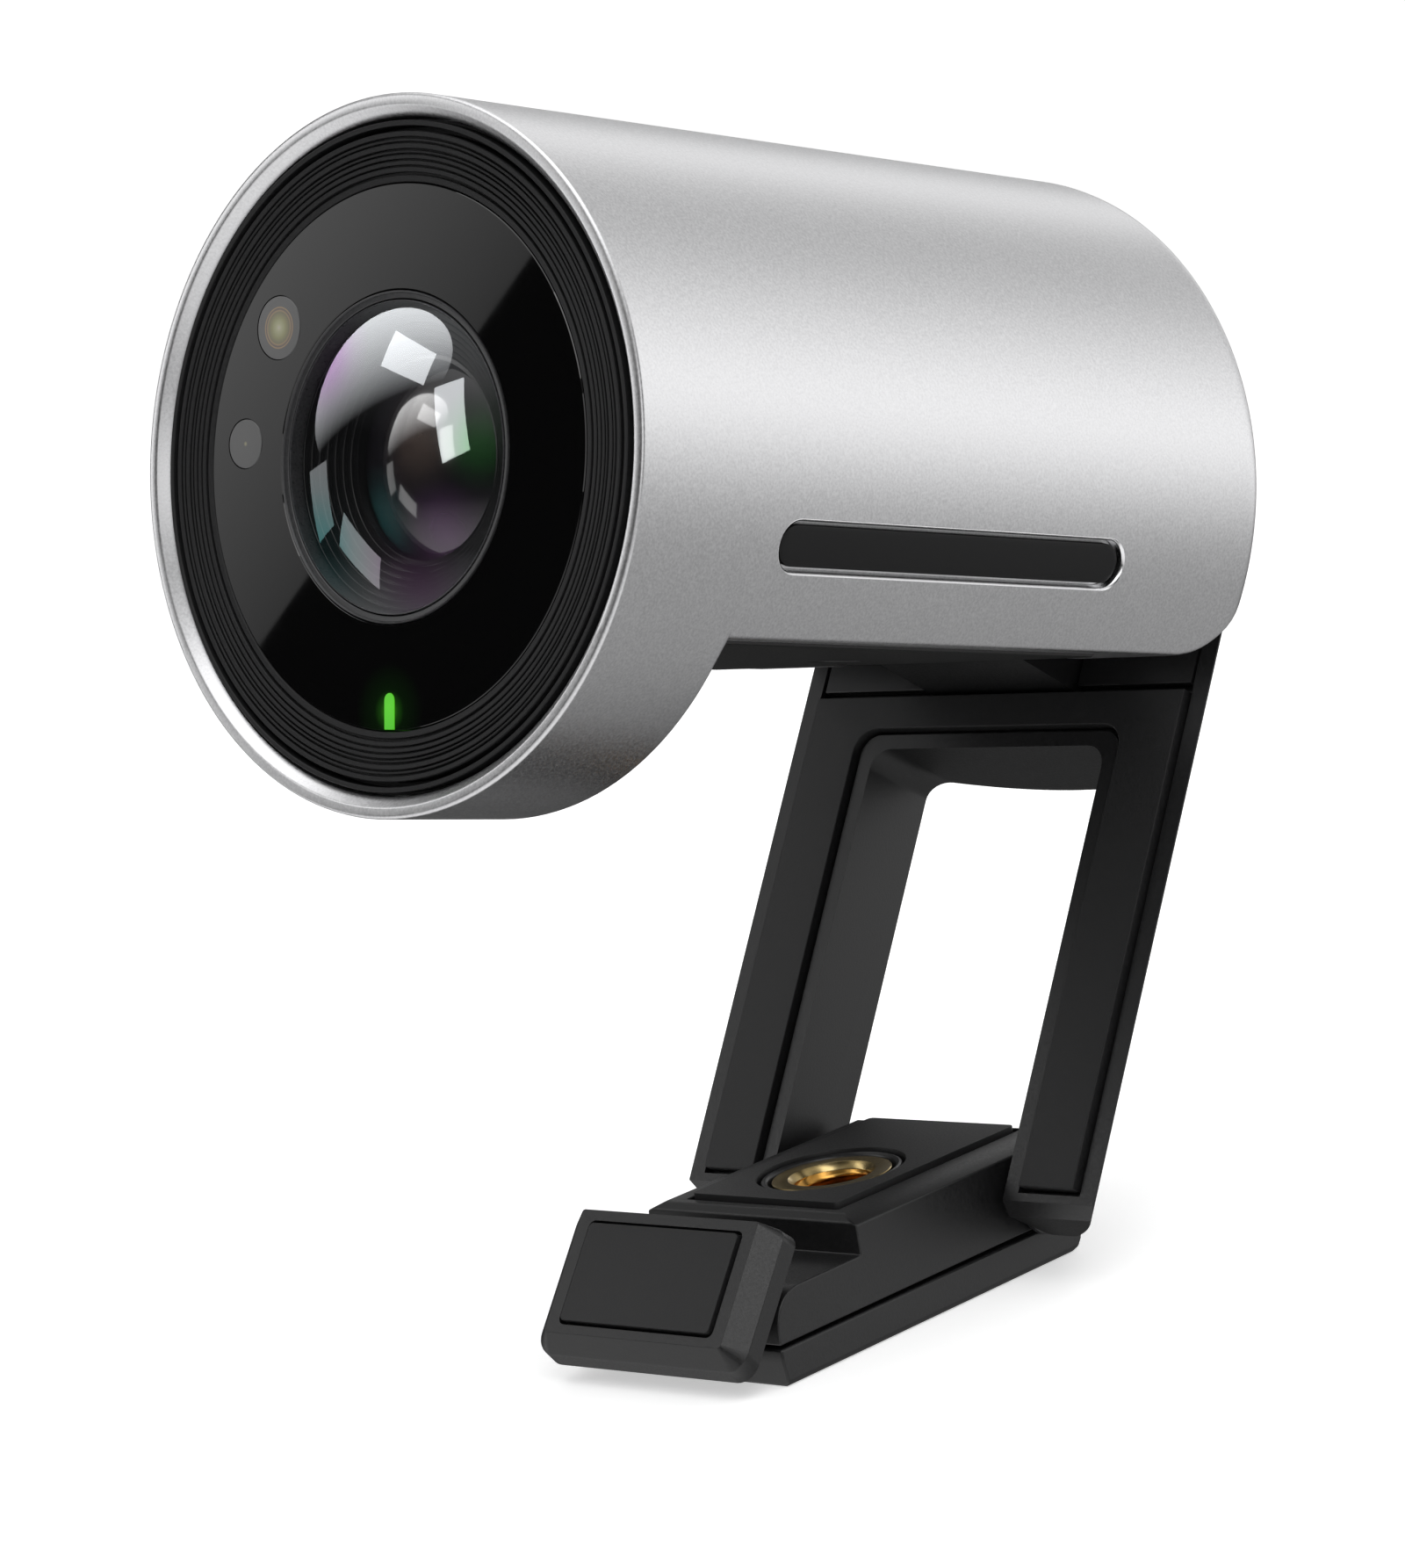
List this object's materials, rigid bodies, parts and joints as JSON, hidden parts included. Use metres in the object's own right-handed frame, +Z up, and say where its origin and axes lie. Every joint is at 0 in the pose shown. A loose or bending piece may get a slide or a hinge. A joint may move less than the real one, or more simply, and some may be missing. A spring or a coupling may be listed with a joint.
{
  "type": "clip-on conference webcam with folding stand",
  "caption": "Cylindrical webcam with a silver shell and domed lens on a folding black clip stand: n-shaped frame, foot with a brass tripod nut, and a hinged rubber-faced clip plate.",
  "frame": {"origin": "middle of the foot's flat underside, on the desk plane", "axes": "+Z up, the lens looks along -Y and is tipped up by 13 degrees, +X is the object's left-hand side seen from its back"},
  "size_m": [0.0506, 0.0822, 0.0962],
  "materials": {
    "silver_shell": "fine blasted, satin",
    "inner_aluminium": "plain",
    "black_plastic": "fine grain, matte",
    "window_glass": "smoked, polished",
    "lens_glass": "coated, polished",
    "dark_metal": "satin",
    "steel": "plain",
    "circuit_board": "solder mask",
    "sensor_package": "dark, glossy",
    "amber_reflector": "amber, glossy",
    "green_light": "lit, diffuse",
    "rubber_pad": "matte",
    "brass_nut": "turned, polished"
  },
  "bodies": {
    "foot": {"foot_housing": "black_plastic", "foot_cover": "black_plastic", "foot_pad": "rubber_pad", "insert_collar": "black_plastic", "tripod_insert": "brass_nut", "foot_screw_front": "steel", "foot_screw_rear": "steel", "foot_hinge_pin_right": "steel", "foot_hinge_pin_left": "steel", "foot_washer_right": "dark_metal", "foot_washer_left": "dark_metal", "clip_pin": "steel"},
    "frame": {"frame_body": "black_plastic", "frame_pad": "rubber_pad", "frame_hinge_cover_right": "black_plastic", "frame_hinge_cover_left": "black_plastic"},
    "head": {"head_shell": "silver_shell", "front_ring": "black_plastic", "glass_window": "window_glass", "lens_bezel": "dark_metal", "lens_front_element": "lens_glass", "lens_barrel": "black_plastic", "lens_rear_element": "lens_glass", "lens_holder": "black_plastic", "image_sensor": "sensor_package", "sensor_board": "circuit_board", "main_board": "circuit_board", "heat_spreader": "inner_aluminium", "emitter_module": "amber_reflector", "light_sensor": "sensor_package", "status_light_pipe": "green_light", "mic_cover_right": "black_plastic", "mic_cover_left": "black_plastic", "mic_board_right": "circuit_board", "mic_board_left": "circuit_board", "rear_cover": "black_plastic", "usb_socket": "steel", "base_plate": "black_plastic", "base_screw_front": "steel", "base_screw_rear": "steel", "hinge_bracket": "dark_metal", "head_hinge_pin": "steel", "head_washer_right": "steel", "head_washer_left": "steel"},
    "clip": {"clip_plate": "black_plastic", "clip_pad": "rubber_pad"}
  },
  "joints": [
    {"name": "foot_hinge", "type": "hinge", "parent": "foot", "child": "frame", "pos_m": [0, 0.0113, 0.0057], "axis": [1, 0, 0], "range_deg": [-45, 110]},
    {"name": "head_hinge", "type": "hinge", "parent": "frame", "child": "head", "pos_m": [0, 0.02514, 0.0508], "axis": [1, 0, 0], "range_deg": [-20, 30]},
    {"name": "clip_hinge", "type": "hinge", "parent": "foot", "child": "clip", "pos_m": [0, -0.01665, 0.0041], "axis": [1, 0, 0], "range_deg": [-50, 10]}
  ]
}
